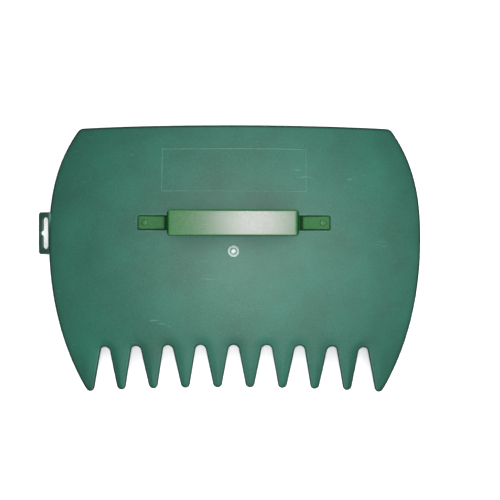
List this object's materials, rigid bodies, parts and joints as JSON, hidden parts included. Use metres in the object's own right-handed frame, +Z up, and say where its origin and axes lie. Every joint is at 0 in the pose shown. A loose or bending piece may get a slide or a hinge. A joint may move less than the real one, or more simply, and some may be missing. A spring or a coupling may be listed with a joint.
{
  "type": "leaf grabber hand",
  "caption": "Dished plastic leaf grabber for one hand: a wide toothed scoop with a pegged-on grip strap across its back and a slotted hanging tab.",
  "frame": {"origin": "under the middle of the whole part, on the surface it stands on", "axes": "+X across the hand, away from the hanging tab; +Y towards the wrist end, with the teeth towards -Y; +Z up, out of the back of the hand"},
  "size_m": [0.353, 0.2447, 0.1065],
  "materials": {
    "blade_plastic": "fine-grained dark bluish-green polypropylene, satin",
    "strap_plastic": "smooth brighter green polypropylene",
    "peg_plastic": "smooth green nylon"
  },
  "bodies": {
    "root": {"blade": "blade_plastic", "grip_strap": "strap_plastic", "left_strap_peg": "peg_plastic", "right_strap_peg": "peg_plastic"}
  },
  "joints": []
}
